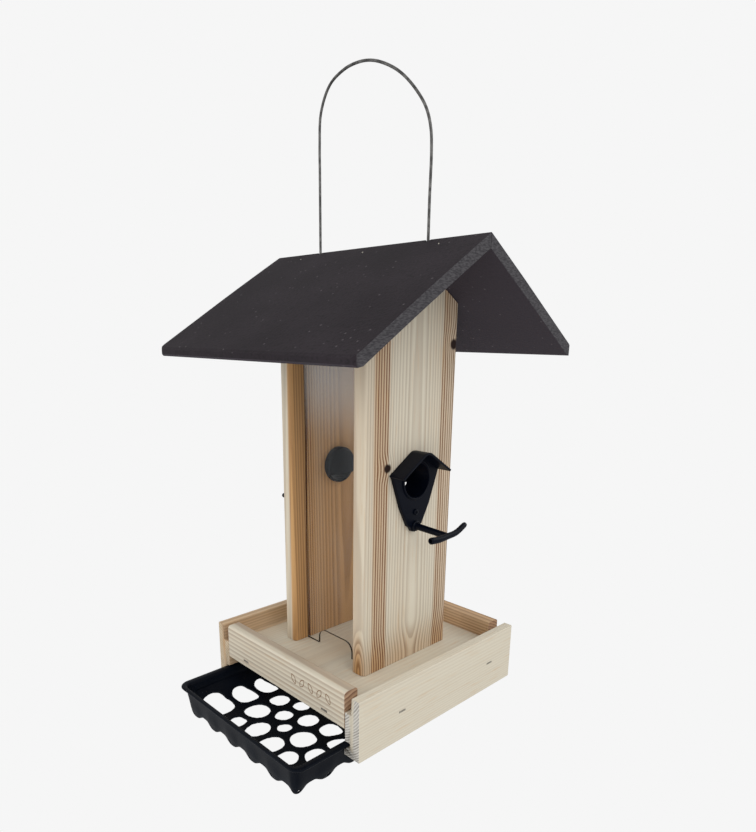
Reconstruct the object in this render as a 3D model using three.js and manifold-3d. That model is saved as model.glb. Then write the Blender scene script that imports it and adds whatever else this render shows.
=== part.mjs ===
// Hanging bird feeder: a pine seed tray and hopper under a pitched roof, with a
// moulded mesh drawer below and a bent wire to hang it by.
// Millimetres. +Z is up, -Y is the drawer side, +X is the right-hand side.
// The parts are laid out with z = 0 at the bottom edge of the tray's side boards,
// and the whole feeder is then lowered so that the origin is the point of the
// hanging wire that a hook bears on.

import * as THREE from 'three';
import { mergeVertices } from 'three/addons/utils/BufferGeometryUtils.js';
import Module from 'manifold-3d';

const wasm = await Module();
wasm.setup();

// ---------------------------------------------------------------- dimensions

const GAP = 0.3; // between pieces that touch on the real feeder

// seed tray, an open pine box
const TRAY_HALF_X = 98;
const TRAY_HALF_Y = 100;
const SIDE_THICK = 16.5;
const SIDE_HIGH = 53;
const REBATE_WIDE = 7.5; // step along the top inner edge of each side board
const END_THICK = 14;
const END_LOW = 21.5; // the drawer passes below the end boards
const END_TOP = 54.5;
const END_ROUND = 3;
const FLOOR_TOP = 38;
const FLOOR_THICK = 16;

// grooves in the side boards, which carry the drawer's rim
const RUNNER_LOW = 8.6;
const RUNNER_HIGH = 13;
const RUNNER_DEEP = 6.5;
const RUNNER_STOP_Y = 87;

// hopper
const PANEL_THICK = 15;
const PANEL_OUT = 53.5; // outer face of a panel, from the middle
const PANEL_HALF_Y = 53.3;
const PANE_THICK = 2;
const PANE_Y = 37.6;
const PANE_TOP = 338;
const PANE_GROOVE_DEEP = 5;
const OUTLET_HALF = 22.5; // seed outlet, a low arch in each pane
const OUTLET_HIGH = 14.5;
const OUTLET_ROUND = 9;

// roof
const RIDGE_Z = 386.8;
const PITCH = THREE.MathUtils.degToRad(32.4);
const ROOF_THICK = 8.8;
const ROOF_HALF_X = 121;
const ROOF_SPAN_FRONT = 128;
const ROOF_SPAN_REAR = 122;
const ROOF_BOW = 0.6; // the boards arch up a little between ridge and eave
const EAVE_CORNER = 5;
const RIDGE_BRAD_X = [-80, 0, 80];
const BRAD_R = 0.8;

// hanging wire
const WIRE_R = 1.1;
const WIRE_LEFT_X = -61;
const WIRE_RIGHT_X = 63.5;
const WIRE_HOLE_Z = 352; // where the wire hooks through the panels
const WIRE_HOLE_R = 2;
const ROOF_HOLE_R = 2.6;
const HANG_Z = 517.5; // underside of the wire over the middle of the feeder

// feeding ports
const PORT_Z = 202;
const PORT_BORE_R = 16;
const PORT_TUBE_R = 15.6;
const PORT_HOLE_R = 14.5;
const PORT_SHIFT = 2.4; // the right-hand port sits this far behind the panel's middle
const PLATE_THICK = 3.5;
const PERCH_Z = 162.5;
const PERCH_ROD_R = 2.5;
const PERCH_REACH = 35.5;
const PERCH_DROOP = 1.4;
const PERCH_BAR_R = 2.75;
const PERCH_BAR_HALF = 22;
const PORT_SCREW_Z = 174.5;
const BAFFLE_MOUTH_HALF = 13; // half width of the opening below a port's shroud

// mesh drawer
const DRAWER_OUT = 50; // how far it is pulled out here
const DRAWER_FRONT = -TRAY_HALF_Y - 2 - DRAWER_OUT;
const DRAWER_LONG = 188;
const RIM_HALF_X = 87;
const RIM_TOP = 12;
const RIM_THICK = 2.4;
const WALL_HALF_X = 80.7;
const WALL_THICK = 2;
const NET_TOP = -7.5;
const NET_THICK = 2;
const FOOT_PITCH = 26;
const FOOT_R = 6.5;
const FOOT_LOW = -15;
// one repeat of the moulded net: x, distance behind the front rim, radius
const NET_REPEAT = 70;
const NET_HOLES = [
  [-62, 28, 11], [-25, 24, 7.5], [-4, 30, 10.5], [22, 26, 11], [44, 25, 9],
  [-58, 52, 10.5], [-27, 45, 11.5], [-5.6, 58.5, 8], [10, 47, 6.5], [34, 48, 12], [58, 43, 10],
  [-58, 75.5, 9], [-28, 70.5, 9], [-7, 79, 7.5], [15.4, 69, 9.3], [39.6, 74, 10], [59.5, 65, 9.5],
];

// fasteners
const STAPLE_CROWN = 7;
const STAPLE_WIRE = 1.2;
const STAPLE_LEG = 26;
const SIDE_STAPLE_Y = [-52, 66];
const SIDE_STAPLE_Z = 26;
const END_STAPLE_X = [-53, 57];
const END_STAPLE_Z = 28.5;
const FLOOR_SCREW_Y = [-30, 30];
const FLOOR_SCREW_R = 1.9;
const FLOOR_SCREW_LONG = 40;
const FLOOR_SCREW_HEAD_R = 4;
const FLOOR_SCREW_HEAD = 2.5;

// ----------------------------------------------------------------- materials

function finish(color, roughness, metalness = 0) {
  return new THREE.MeshStandardMaterial({ color, roughness, metalness });
}

const PINE = finish(0xdcbf91, 0.7);
const ROOF_COAT = finish(0x2c272b, 0.8);
const BLACK_PLASTIC = finish(0x15181c, 0.45);
const CLEAR_SHEET = finish(0xe4e6e4, 0.1);
const DARK_WIRE = finish(0x3a3c3d, 0.45, 0.8);
const STEEL = finish(0x8d9092, 0.4, 0.9);

// ------------------------------------------------------------ solids by name

function solidOf(geometry) {
  const bare = geometry.clone();
  bare.deleteAttribute('normal');
  bare.deleteAttribute('uv');
  const merged = mergeVertices(bare, 1e-4);
  return new wasm.Manifold(new wasm.Mesh({
    numProp: 3,
    vertProperties: new Float32Array(merged.attributes.position.array),
    triVerts: new Uint32Array(merged.index.array),
  }));
}

function geometryOf(solid) {
  const { vertProperties, triVerts } = solid.getMesh();
  const geometry = new THREE.BufferGeometry();
  geometry.setAttribute('position', new THREE.BufferAttribute(new Float32Array(vertProperties), 3));
  geometry.setIndex(new THREE.BufferAttribute(new Uint32Array(triVerts), 1));
  geometry.computeVertexNormals();
  return geometry;
}

function piece(name, solid, material) {
  const mesh = new THREE.Mesh(geometryOf(solid), material);
  mesh.name = name;
  return mesh;
}

// a block between two corners
function block([x0, y0, z0], [x1, y1, z1]) {
  const geometry = new THREE.BoxGeometry(x1 - x0, y1 - y0, z1 - z0);
  geometry.translate((x0 + x1) / 2, (y0 + y1) / 2, (z0 + z1) / 2);
  return solidOf(geometry);
}

// a round bar between two points
function bar(from, to, radius, sides = 16) {
  const start = new THREE.Vector3(...from);
  const along = new THREE.Vector3(...to).sub(start);
  const geometry = new THREE.CylinderGeometry(radius, radius, along.length(), sides);
  geometry.translate(0, along.length() / 2, 0);
  const up = new THREE.Vector3(0, 1, 0);
  geometry.applyQuaternion(new THREE.Quaternion().setFromUnitVectors(up, along.clone().normalize()));
  geometry.translate(start.x, start.y, start.z);
  return solidOf(geometry);
}

function extruded(shape, depth, curveSegments = 8) {
  return new THREE.ExtrudeGeometry(shape, { depth, bevelEnabled: false, curveSegments });
}

// outlines drawn in (y, z), (x, z) or (x, y), made solid between two planes
function alongX(shape, x0, x1, curveSegments) {
  const geometry = extruded(shape, x1 - x0, curveSegments);
  geometry.applyMatrix4(new THREE.Matrix4().makeBasis(
    new THREE.Vector3(0, 1, 0),
    new THREE.Vector3(0, 0, 1),
    new THREE.Vector3(1, 0, 0),
  ));
  geometry.translate(x0, 0, 0);
  return solidOf(geometry);
}

function alongY(shape, y0, y1, curveSegments) {
  const geometry = extruded(shape, y1 - y0, curveSegments);
  geometry.rotateX(Math.PI / 2);
  geometry.translate(0, y1, 0);
  return solidOf(geometry);
}

function alongZ(shape, z0, z1, curveSegments) {
  const geometry = extruded(shape, z1 - z0, curveSegments);
  geometry.translate(0, 0, z0);
  return solidOf(geometry);
}

function polygon(points) {
  return new THREE.Shape(points.map(([u, v]) => new THREE.Vector2(u, v)));
}

function roundedRectangle(u0, v0, u1, v1, radius) {
  const shape = new THREE.Shape();
  shape.absarc(u1 - radius, v0 + radius, radius, -Math.PI / 2, 0);
  shape.absarc(u1 - radius, v1 - radius, radius, 0, Math.PI / 2);
  shape.absarc(u0 + radius, v1 - radius, radius, Math.PI / 2, Math.PI);
  shape.absarc(u0 + radius, v0 + radius, radius, Math.PI, 1.5 * Math.PI);
  return shape;
}

// a tube along a curve
function tube(curve, radius, steps, sides = 8) {
  const section = new THREE.Shape();
  section.absarc(0, 0, radius, 0, 2 * Math.PI);
  return solidOf(new THREE.ExtrudeGeometry(section, {
    steps,
    curveSegments: sides / 2, // an arc is given two steps for each segment
    extrudePath: curve,
    bevelEnabled: false,
  }));
}

function curveThrough(points) {
  return new THREE.CatmullRomCurve3(points.map((p) => new THREE.Vector3(...p)), false, 'centripetal');
}

// ------------------------------------------------------------------ fasteners

// A staple drawn with its crown in the plane u = 0 and its legs along +u.
// place maps (u, crown direction, z) to the feeder's axes.
function staple(place, at, z, grow = 0) {
  const half = STAPLE_CROWN / 2 + grow;
  const wire = STAPLE_WIRE / 2 + grow;
  const corners = (u0, v0, u1, v1) => {
    const a = place(u0, at + v0);
    const b = place(u1, at + v1);
    return [
      [Math.min(a[0], b[0]), Math.min(a[1], b[1]), z - wire],
      [Math.max(a[0], b[0]), Math.max(a[1], b[1]), z + wire],
    ];
  };
  const crown = block(...corners(-grow, -half, STAPLE_WIRE + grow, half));
  const legs = [-1, 1].map((side) => {
    const inner = side * (half - STAPLE_WIRE - 2 * grow);
    return block(...corners(0, Math.min(inner, side * half), STAPLE_LEG + grow, Math.max(inner, side * half)));
  });
  return crown.add(legs[0]).add(legs[1]);
}

const fromRight = (u, v) => [TRAY_HALF_X - u, v];
const fromLeft = (u, v) => [-TRAY_HALF_X + u, v];
const fromFront = (u, v) => [v, -TRAY_HALF_Y + u];
const fromRear = (u, v) => [v, TRAY_HALF_Y - u];

const STAPLES = [
  ...SIDE_STAPLE_Y.map((y, i) => [`side_staple_right_${i + 1}`, fromRight, y, SIDE_STAPLE_Z]),
  ...SIDE_STAPLE_Y.map((y, i) => [`side_staple_left_${i + 1}`, fromLeft, y, SIDE_STAPLE_Z]),
  ...END_STAPLE_X.map((x, i) => [`front_staple_${i + 1}`, fromFront, x, END_STAPLE_Z]),
  ...END_STAPLE_X.map((x, i) => [`rear_staple_${i + 1}`, fromRear, x, END_STAPLE_Z]),
];

function withoutStaples(solid) {
  return STAPLES.reduce((left, [, place, at, z]) => left.subtract(staple(place, at, z, GAP)), solid);
}

function floorScrew(x, y, grow = 0) {
  const low = FLOOR_TOP - FLOOR_THICK;
  const headTop = low + FLOOR_SCREW_HEAD + 0.5;
  const head = bar([x, y, low + 0.5 - 4 * grow], [x, y, headTop + grow], FLOOR_SCREW_HEAD_R + grow, 12);
  const shank = bar([x, y, low + 1], [x, y, low + FLOOR_SCREW_LONG + grow], FLOOR_SCREW_R + grow, 10);
  return head.add(shank);
}

const FLOOR_SCREW_X = PANEL_OUT - PANEL_THICK / 2;
const FLOOR_SCREWS = [[1, 'right'], [-1, 'left']].flatMap(([side, word]) => (
  FLOOR_SCREW_Y.map((y, i) => [`panel_screw_${word}_${i + 1}`, side * FLOOR_SCREW_X, y])
));

function withoutFloorScrews(solid) {
  return FLOOR_SCREWS.reduce((left, [, x, y]) => left.subtract(floorScrew(x, y, GAP)), solid);
}

// ----------------------------------------------------------------- seed tray

const SIDE_IN = TRAY_HALF_X - SIDE_THICK;

function sideBoard(side) {
  const outline = polygon([
    [SIDE_IN, 0],
    [TRAY_HALF_X, 0],
    [TRAY_HALF_X, SIDE_HIGH],
    [SIDE_IN + REBATE_WIDE, SIDE_HIGH],
    [SIDE_IN + REBATE_WIDE, FLOOR_TOP],
    [SIDE_IN, FLOOR_TOP],
  ].map(([x, z]) => [side * x, z]));
  const groove = [side * (SIDE_IN - 1), side * (SIDE_IN + RUNNER_DEEP)].sort((a, b) => a - b);
  const board = alongY(outline, -TRAY_HALF_Y, TRAY_HALF_Y).subtract(block(
    [groove[0], -TRAY_HALF_Y - 1, RUNNER_LOW],
    [groove[1], RUNNER_STOP_Y, RUNNER_HIGH],
  ));
  return withoutStaples(board);
}

function endBoard(y0, y1) {
  const end = roundedRectangle(y0, END_LOW, y1, END_TOP, END_ROUND);
  return withoutStaples(alongX(end, -SIDE_IN + GAP, SIDE_IN - GAP, 4));
}

function trayFloor() {
  const halfX = SIDE_IN - GAP;
  const halfY = TRAY_HALF_Y - END_THICK - GAP;
  const board = block([-halfX, -halfY, FLOOR_TOP - FLOOR_THICK], [halfX, halfY, FLOOR_TOP]);
  return withoutFloorScrews(withoutStaples(board));
}

// ---------------------------------------------------------------------- roof

// height of a roof face above a distance y from the ridge line, `below` the top face
function roofHeight(y, span, below) {
  const s = Math.min(Math.abs(y) / span, 1);
  return RIDGE_Z - Math.abs(y) * Math.tan(PITCH) + 4 * ROOF_BOW * s * (1 - s) - below / Math.cos(PITCH);
}

function roofBoard(side, span) {
  const steps = 8;
  const tip = 5; // how far in from the eave the underside ends, cut level and eased
  const top = [];
  const under = [];
  for (let i = 0; i <= steps; i += 1) {
    const y = GAP / 2 + (span - 2 - GAP / 2) * (i / steps);
    top.push([side * y, roofHeight(y, span, 0)]);
  }
  const low = roofHeight(span, span, 0);
  const underEnd = span - tip - ROOF_THICK * Math.sin(PITCH) * 0.5;
  for (let i = steps; i >= 0; i -= 1) {
    const y = GAP / 2 + (underEnd - GAP / 2) * (i / steps);
    under.push([side * y, roofHeight(y, span, ROOF_THICK)]);
  }
  const nose = [[side * span, low - 1], [side * (span - 0.8), low - 5], [side * (span - 3), low - 6.6]];
  const profile = alongX(polygon([...top, ...nose, ...under]), -ROOF_HALF_X, ROOF_HALF_X);
  const plan = new THREE.Shape();
  plan.moveTo(-ROOF_HALF_X, 0);
  plan.lineTo(ROOF_HALF_X, 0);
  plan.absarc(ROOF_HALF_X - EAVE_CORNER, span - EAVE_CORNER, EAVE_CORNER, 0, Math.PI / 2);
  plan.absarc(-ROOF_HALF_X + EAVE_CORNER, span - EAVE_CORNER, EAVE_CORNER, Math.PI / 2, Math.PI);
  const outline = extruded(plan, RIDGE_Z, 5);
  outline.rotateZ(side < 0 ? Math.PI : 0);
  outline.translate(0, 0, 1);
  let board = profile.intersect(solidOf(outline));
  for (const x of [WIRE_LEFT_X, WIRE_RIGHT_X]) {
    board = board.subtract(bar([x, 0, RIDGE_Z - 40], [x, 0, RIDGE_Z + 10], ROOF_HOLE_R));
  }
  for (const x of RIDGE_BRAD_X) {
    board = board.subtract(ridgeBrad(x, GAP));
  }
  return board;
}

// brads driven across the mitre, through the front board into the rear one
function ridgeBrad(x, grow = 0) {
  const z = RIDGE_Z - 5;
  return bar([x, -7.2 - 6 * grow, z], [x, 6 + grow, z], BRAD_R + grow, 8);
}

// -------------------------------------------------------------------- hopper

// The right-hand panel; the left one is the same board turned half round.
// portY is where its port is, from the panel's middle.
function hopperPanel(portY) {
  const underRoof = (y) => roofHeight(y, (ROOF_SPAN_FRONT + ROOF_SPAN_REAR) / 2, ROOF_THICK) - 0.6;
  const top = [1, 0.5, 0, -0.5, -1].map((s) => [s * PANEL_HALF_Y, underRoof(s * PANEL_HALF_Y)]);
  const outline = polygon([
    [-PANEL_HALF_Y, FLOOR_TOP + GAP],
    [PANEL_HALF_Y, FLOOR_TOP + GAP],
    ...top,
  ]);
  const bore = new THREE.Path();
  bore.absarc(portY, PORT_Z, PORT_BORE_R, 0, 2 * Math.PI, true);
  outline.holes.push(bore);
  const inner = PANEL_OUT - PANEL_THICK;
  let board = alongX(outline, inner, PANEL_OUT, 14);
  for (const y of [-PANE_Y, PANE_Y]) {
    const half = PANE_THICK / 2 + 0.4;
    board = board.subtract(block([inner - 1, y - half, 0], [inner + PANE_GROOVE_DEEP, y + half, RIDGE_Z]));
  }
  for (const y of FLOOR_SCREW_Y) {
    board = board.subtract(floorScrew(FLOOR_SCREW_X, y, GAP));
  }
  return board
    .subtract(bar([inner - 1, 0, WIRE_HOLE_Z], [PANEL_OUT + 1, 0, WIRE_HOLE_Z], WIRE_HOLE_R, 12))
    .subtract(portScrew(GAP, portY));
}

function pane(y) {
  const halfX = PANEL_OUT - PANEL_THICK + PANE_GROOVE_DEEP - GAP;
  const low = FLOOR_TOP + GAP;
  const arch = low + OUTLET_HIGH - OUTLET_ROUND;
  const sheet = new THREE.Shape();
  sheet.moveTo(-halfX, low);
  sheet.lineTo(-OUTLET_HALF, low);
  sheet.absarc(-OUTLET_HALF + OUTLET_ROUND, arch, OUTLET_ROUND, Math.PI, Math.PI / 2, true);
  sheet.absarc(OUTLET_HALF - OUTLET_ROUND, arch, OUTLET_ROUND, Math.PI / 2, 0, true);
  sheet.lineTo(OUTLET_HALF, low);
  sheet.lineTo(halfX, low);
  sheet.lineTo(halfX, PANE_TOP);
  sheet.lineTo(-halfX, PANE_TOP);
  return alongY(sheet, y - PANE_THICK / 2, y + PANE_THICK / 2, 5);
}

// -------------------------------------------------------------- feeding ports
// Everything here is drawn on the right-hand panel, facing +X.

const PLATE_BACK = PANEL_OUT + GAP;
const PLATE_FACE = PLATE_BACK + PLATE_THICK;

function portScrew(grow = 0, y = 0) {
  const head = bar(
    [PLATE_FACE + GAP - grow, y, PORT_SCREW_Z],
    [PLATE_FACE + GAP + 1.4, y, PORT_SCREW_Z],
    2.6 + grow,
    12,
  );
  const shank = bar([PANEL_OUT - 11 - grow, y, PORT_SCREW_Z], [PLATE_FACE + 1, y, PORT_SCREW_Z], 1.3 + grow, 8);
  return head.add(shank);
}

function portBody() {
  const plate = new THREE.Shape();
  plate.moveTo(0, 226);
  plate.lineTo(-28.2, 209);
  plate.lineTo(-17.5, 180);
  plate.lineTo(-8.5, 163);
  plate.absarc(0, PERCH_Z, 5.6, Math.PI * 1.05, Math.PI * 1.95);
  plate.lineTo(8.5, 163);
  plate.lineTo(17.5, 180);
  plate.lineTo(28.2, 209);
  const hole = new THREE.Path();
  hole.absarc(0, PORT_Z, PORT_HOLE_R, 0, 2 * Math.PI, true);
  plate.holes.push(hole);

  const throat = new THREE.Shape();
  throat.absarc(0, PORT_Z, PORT_TUBE_R, 0, 2 * Math.PI);
  throat.holes.push(hole);

  const hood = polygon([[0, 228.5], [-29.6, 209], [-28.4, 207], [0, 225.6], [28.4, 207], [29.6, 209]]);

  const rim = new THREE.Shape();
  rim.absarc(0, PORT_Z, PORT_HOLE_R + 2.2, 0, 2 * Math.PI);
  rim.holes.push(hole);

  return alongX(plate, PLATE_BACK, PLATE_FACE, 14)
    .add(alongX(throat, PANEL_OUT - PANEL_THICK - 2.5, PLATE_BACK + 1, 14))
    .add(alongX(hood, PLATE_BACK, PLATE_FACE + 13))
    .add(alongX(rim, PLATE_BACK + 1, PLATE_FACE + 1.4, 14))
    .add(bar([PLATE_BACK + 1, 0, PERCH_Z], [PLATE_FACE + 2.5, 0, PERCH_Z], 4.4, 12))
    .subtract(bar([PLATE_BACK - 1, 0, PERCH_Z], [PLATE_FACE + 3, 0, PERCH_Z], PERCH_ROD_R + GAP, 12))
    .subtract(bar([PLATE_BACK - 1, 0, PORT_SCREW_Z], [PLATE_FACE + 1, 0, PORT_SCREW_Z], 1.6, 8));
}

// a shroud over the inner end of the throat, open below so that seed can run in
function portBaffle() {
  const back = PANEL_OUT - PANEL_THICK - GAP;
  const skirt = new THREE.Shape();
  skirt.absarc(0, PORT_Z, PORT_TUBE_R + 1.7, 0, 2 * Math.PI);
  const inside = new THREE.Path();
  inside.absarc(0, PORT_Z, PORT_TUBE_R + GAP, 0, 2 * Math.PI, true);
  skirt.holes.push(inside);
  const disc = new THREE.Shape();
  disc.absarc(0, PORT_Z, PORT_TUBE_R + 1.7, 0, 2 * Math.PI);
  return alongX(skirt, back - 6, back, 14)
    .add(alongX(disc, back - 7.5, back - 5.5, 14))
    .subtract(block([0, -BAFFLE_MOUTH_HALF, PORT_Z - 30], [back - 3.5, BAFFLE_MOUTH_HALF, PORT_Z - 9]));
}

// The rod droops a little to its bar, which sweeps up more at its rear end.
function perch() {
  const x = PLATE_FACE + PERCH_REACH;
  const z = PERCH_Z - PERCH_DROOP;
  const rod = bar([PLATE_BACK + GAP, 0, PERCH_Z], [x, 0, z], PERCH_ROD_R, 10);
  const line = curveThrough([
    [x - 1, -PERCH_BAR_HALF + 1, z - 0.2],
    [x, -PERCH_BAR_HALF / 2, z - 0.6],
    [x, 0, z],
    [x, PERCH_BAR_HALF / 2, z + 1],
    [x - 1.5, PERCH_BAR_HALF + 1, z + 4.8],
  ]);
  return rod.add(tube(line, PERCH_BAR_R, 12, 10));
}

// --------------------------------------------------------------- hanging wire

function hangingWire() {
  const hook = (x, side) => [
    [side * 33, 0, WIRE_HOLE_Z + 6],
    [side * 33.6, 0, WIRE_HOLE_Z + 2],
    [side * 37, 0, WIRE_HOLE_Z],
    [side * 45, 0, WIRE_HOLE_Z],
    [side * 53.5, 0, WIRE_HOLE_Z],
    [x - side * 2.4, 0, WIRE_HOLE_Z + 1],
    [x, 0, WIRE_HOLE_Z + 5],
    [x, 0, WIRE_HOLE_Z + 12],
    [x, 0, RIDGE_Z],
    [x, 0, RIDGE_Z + 30],
  ];
  const loop = [
    [-61, 452], [-61, 471], [-59, 495], [-48, 512.5], [-31, 519.6], [-14.5, 520.8], [0, 518.6], [15, 512.9],
    [31, 503.5], [46, 490], [57.5, 475], [62.5, 461], [63.8, 446],
  ];
  const line = curveThrough([
    ...hook(WIRE_LEFT_X, -1),
    ...loop.map(([x, z]) => [x, 0, z]),
    ...hook(WIRE_RIGHT_X, 1).reverse(),
  ]);
  return tube(line, WIRE_R, 110, 8);
}

// ---------------------------------------------------------------- mesh drawer

function drawerOutline(halfX, inset, radius) {
  return roundedRectangle(-halfX, DRAWER_FRONT + inset, halfX, DRAWER_FRONT + DRAWER_LONG - inset, radius);
}

function meshDrawer() {
  const wallInset = RIM_HALF_X - WALL_HALF_X;
  const netLow = NET_TOP - NET_THICK;
  const ring = (halfX, inset, radius, width) => {
    const shape = drawerOutline(halfX, inset, radius);
    shape.holes.push(drawerOutline(halfX - width, inset + width, Math.max(radius - width, 1)));
    return shape;
  };
  const rim = alongZ(ring(RIM_HALF_X, 0, 9, wallInset + WALL_THICK), RIM_TOP - RIM_THICK, RIM_TOP, 5);
  const wall = alongZ(ring(WALL_HALF_X, wallInset / 2, 6, WALL_THICK), netLow, RIM_TOP - RIM_THICK / 2, 5);
  let net = alongZ(drawerOutline(WALL_HALF_X - 0.5, wallInset / 2 + 0.5, 6), netLow, NET_TOP, 5);
  const lastRow = DRAWER_LONG - 18;
  for (let start = 0; start < DRAWER_LONG; start += NET_REPEAT) {
    for (const [x, y, radius] of NET_HOLES) {
      if (start + y + radius <= lastRow + 8) {
        const at = DRAWER_FRONT + start + y;
        net = net.subtract(bar([x, at, netLow - 1], [x, at, NET_TOP + 1], radius, 12));
      }
    }
  }
  let drawer = rim.add(wall).add(net);
  const frontFeet = DRAWER_FRONT + wallInset / 2 + FOOT_R;
  const rows = Math.floor((DRAWER_LONG - wallInset - 2 * FOOT_R) / FOOT_PITCH);
  for (let i = -3; i <= 3; i += 1) {
    for (let j = 0; j <= rows; j += 1) {
      const edge = Math.abs(i) === 3 || j === 0 || j === rows;
      const x = i * FOOT_PITCH * ((WALL_HALF_X - FOOT_R) / (3 * FOOT_PITCH));
      const y = frontFeet + j * ((DRAWER_LONG - wallInset - 2 * FOOT_R) / rows);
      if (edge) {
        drawer = drawer.add(bar([x, y, FOOT_LOW], [x, y, NET_TOP - 0.5], FOOT_R, 12));
      }
    }
  }
  return drawer;
}

// ------------------------------------------------------------------ assembly

const feeder = new THREE.Group();
feeder.position.z = -HANG_Z;

const tray = new THREE.Group();
tray.add(
  piece('tray_side_right', sideBoard(1), PINE),
  piece('tray_side_left', sideBoard(-1), PINE),
  piece('tray_front_board', endBoard(-TRAY_HALF_Y, -TRAY_HALF_Y + END_THICK), PINE),
  piece('tray_rear_board', endBoard(TRAY_HALF_Y - END_THICK, TRAY_HALF_Y), PINE),
  piece('tray_floor', trayFloor(), PINE),
);
for (const [name, place, at, z] of STAPLES) {
  tray.add(piece(name, staple(place, at, z), STEEL));
}
for (const [name, x, y] of FLOOR_SCREWS) {
  tray.add(piece(name, floorScrew(x, y), STEEL));
}
feeder.add(tray);

for (const [word, turn, portY] of [['right', 0, PORT_SHIFT], ['left', Math.PI, 0]]) {
  const side = new THREE.Group();
  side.rotation.z = turn;
  side.add(piece(`hopper_panel_${word}`, hopperPanel(portY), PINE));
  const port = new THREE.Group();
  port.position.y = portY;
  port.add(
    piece(`port_body_${word}`, portBody(), BLACK_PLASTIC),
    piece(`port_baffle_${word}`, portBaffle(), BLACK_PLASTIC),
    piece(`port_screw_${word}`, portScrew(), STEEL),
    piece(`perch_${word}`, perch(), BLACK_PLASTIC),
  );
  side.add(port);
  feeder.add(side);
}

feeder.add(
  piece('window_front', pane(-PANE_Y), CLEAR_SHEET),
  piece('window_rear', pane(PANE_Y), CLEAR_SHEET),
  piece('hanging_wire', hangingWire(), DARK_WIRE),
  piece('mesh_drawer', meshDrawer(), BLACK_PLASTIC),
);

const roof = new THREE.Group();
roof.add(
  piece('roof_board_front', roofBoard(-1, ROOF_SPAN_FRONT), ROOF_COAT),
  piece('roof_board_rear', roofBoard(1, ROOF_SPAN_REAR), ROOF_COAT),
);
RIDGE_BRAD_X.forEach((x, i) => roof.add(piece(`ridge_brad_${i + 1}`, ridgeBrad(x), STEEL)));
feeder.add(roof);

export default feeder;
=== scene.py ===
# %% [markdown]
# # A hanging bird feeder
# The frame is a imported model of 36 parts that already fit and move: a pine tray and
# hopper, a pitched roof that slides up its wire, a mesh drawer and two feeding ports.
# This script gives each part the surface that it has on the real feeder. Sizes are in
# metres, and a millimetre is written MM. Heights are counted from the bottom edge of the
# tray, which a joiner would measure from as well.

import math

import bmesh
import bpy
from mathutils import Matrix, Vector


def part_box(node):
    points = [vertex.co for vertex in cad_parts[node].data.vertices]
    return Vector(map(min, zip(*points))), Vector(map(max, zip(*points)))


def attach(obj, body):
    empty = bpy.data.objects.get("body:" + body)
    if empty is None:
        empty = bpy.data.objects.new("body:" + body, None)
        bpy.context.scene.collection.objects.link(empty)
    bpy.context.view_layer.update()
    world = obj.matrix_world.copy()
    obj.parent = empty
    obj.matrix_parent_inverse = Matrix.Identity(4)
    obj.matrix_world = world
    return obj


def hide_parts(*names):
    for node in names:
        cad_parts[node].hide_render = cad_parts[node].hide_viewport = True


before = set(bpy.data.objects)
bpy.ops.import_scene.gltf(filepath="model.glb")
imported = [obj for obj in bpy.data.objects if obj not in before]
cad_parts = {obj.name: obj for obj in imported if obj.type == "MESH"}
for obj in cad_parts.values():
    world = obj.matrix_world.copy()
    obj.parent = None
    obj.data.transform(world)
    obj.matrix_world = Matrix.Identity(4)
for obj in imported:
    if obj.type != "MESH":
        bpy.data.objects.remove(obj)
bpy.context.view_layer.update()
MM = 0.001
TRAY_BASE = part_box("tray_side_right")[0].z


def height(millimetres):
    """The place along Z of a height above the tray's bottom edge."""
    return TRAY_BASE + millimetres * MM


# %% [markdown]
# ## Camera and room
# The feeder hangs in front of a pale backdrop and is seen from its front right corner,
# a little from above. The lens is short and the camera is close, so the tray's near
# corner is large. The picture's middle is above the line of sight: that is a lens shift,
# and it keeps upright edges upright where a tilted camera would not.
#
# The room's light comes from every side, with a large soft lamp on each side of the
# camera. The floor glows by its own colour, so it stays even, and is hidden from the
# light that reaches the feeder.

# %% Camera
CAMERA_AZIMUTH = 45.9
CAMERA_ELEVATION = 15.8
CAMERA_ROLL = 0.6
CAMERA_DISTANCE = 592.7 * MM
CAMERA_LENS = 28.17
CAMERA_SHIFT = 0.0143, 0.1237
LOOK_AT = Vector((0, 0, height(156.7)))


def directions(azimuth, elevation, roll):
    """The right, up and back directions of something that looks in from that side."""
    turn, climb, tilt = (math.radians(v) for v in (azimuth, elevation, roll))
    flat = Vector((math.sin(turn), -math.cos(turn), 0))
    back = flat * math.cos(climb) + Vector((0, 0, math.sin(climb)))
    right = Vector((0, 0, 1)).cross(back).normalized()
    up = back.cross(right)
    return right * math.cos(tilt) + up * math.sin(tilt), up * math.cos(tilt) - right * math.sin(tilt), back


def placed(right, up, back, origin):
    """The matrix that puts a camera or lamp at origin, facing away from back."""
    turned = Matrix((right, up, back)).transposed().to_4x4()
    return Matrix.Translation(origin) @ turned


camera = bpy.data.objects.new("camera", bpy.data.cameras.new("camera"))
bpy.context.scene.collection.objects.link(camera)
axes = directions(CAMERA_AZIMUTH, CAMERA_ELEVATION, CAMERA_ROLL)
camera.matrix_world = placed(*axes, LOOK_AT + axes[2] * CAMERA_DISTANCE)
camera.data.lens = CAMERA_LENS
camera.data.shift_x, camera.data.shift_y = CAMERA_SHIFT
camera.data.clip_start = 10 * MM
bpy.context.scene.camera = camera
bpy.context.scene.view_settings.view_transform = "Standard"
print("camera at", [round(v, 3) for v in camera.location])

# %% [markdown]
# ## A short way to write materials
# A material is a tree of nodes, and building it node by node hides the idea. The class
# `Value` wraps a socket, so `noise * 0.2 + 0.5` adds the Math nodes that it needs. The
# class `Finish` is one material: its `node` method adds any other node, and its settings
# come before its sockets because a setting can change which sockets there are.

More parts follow.
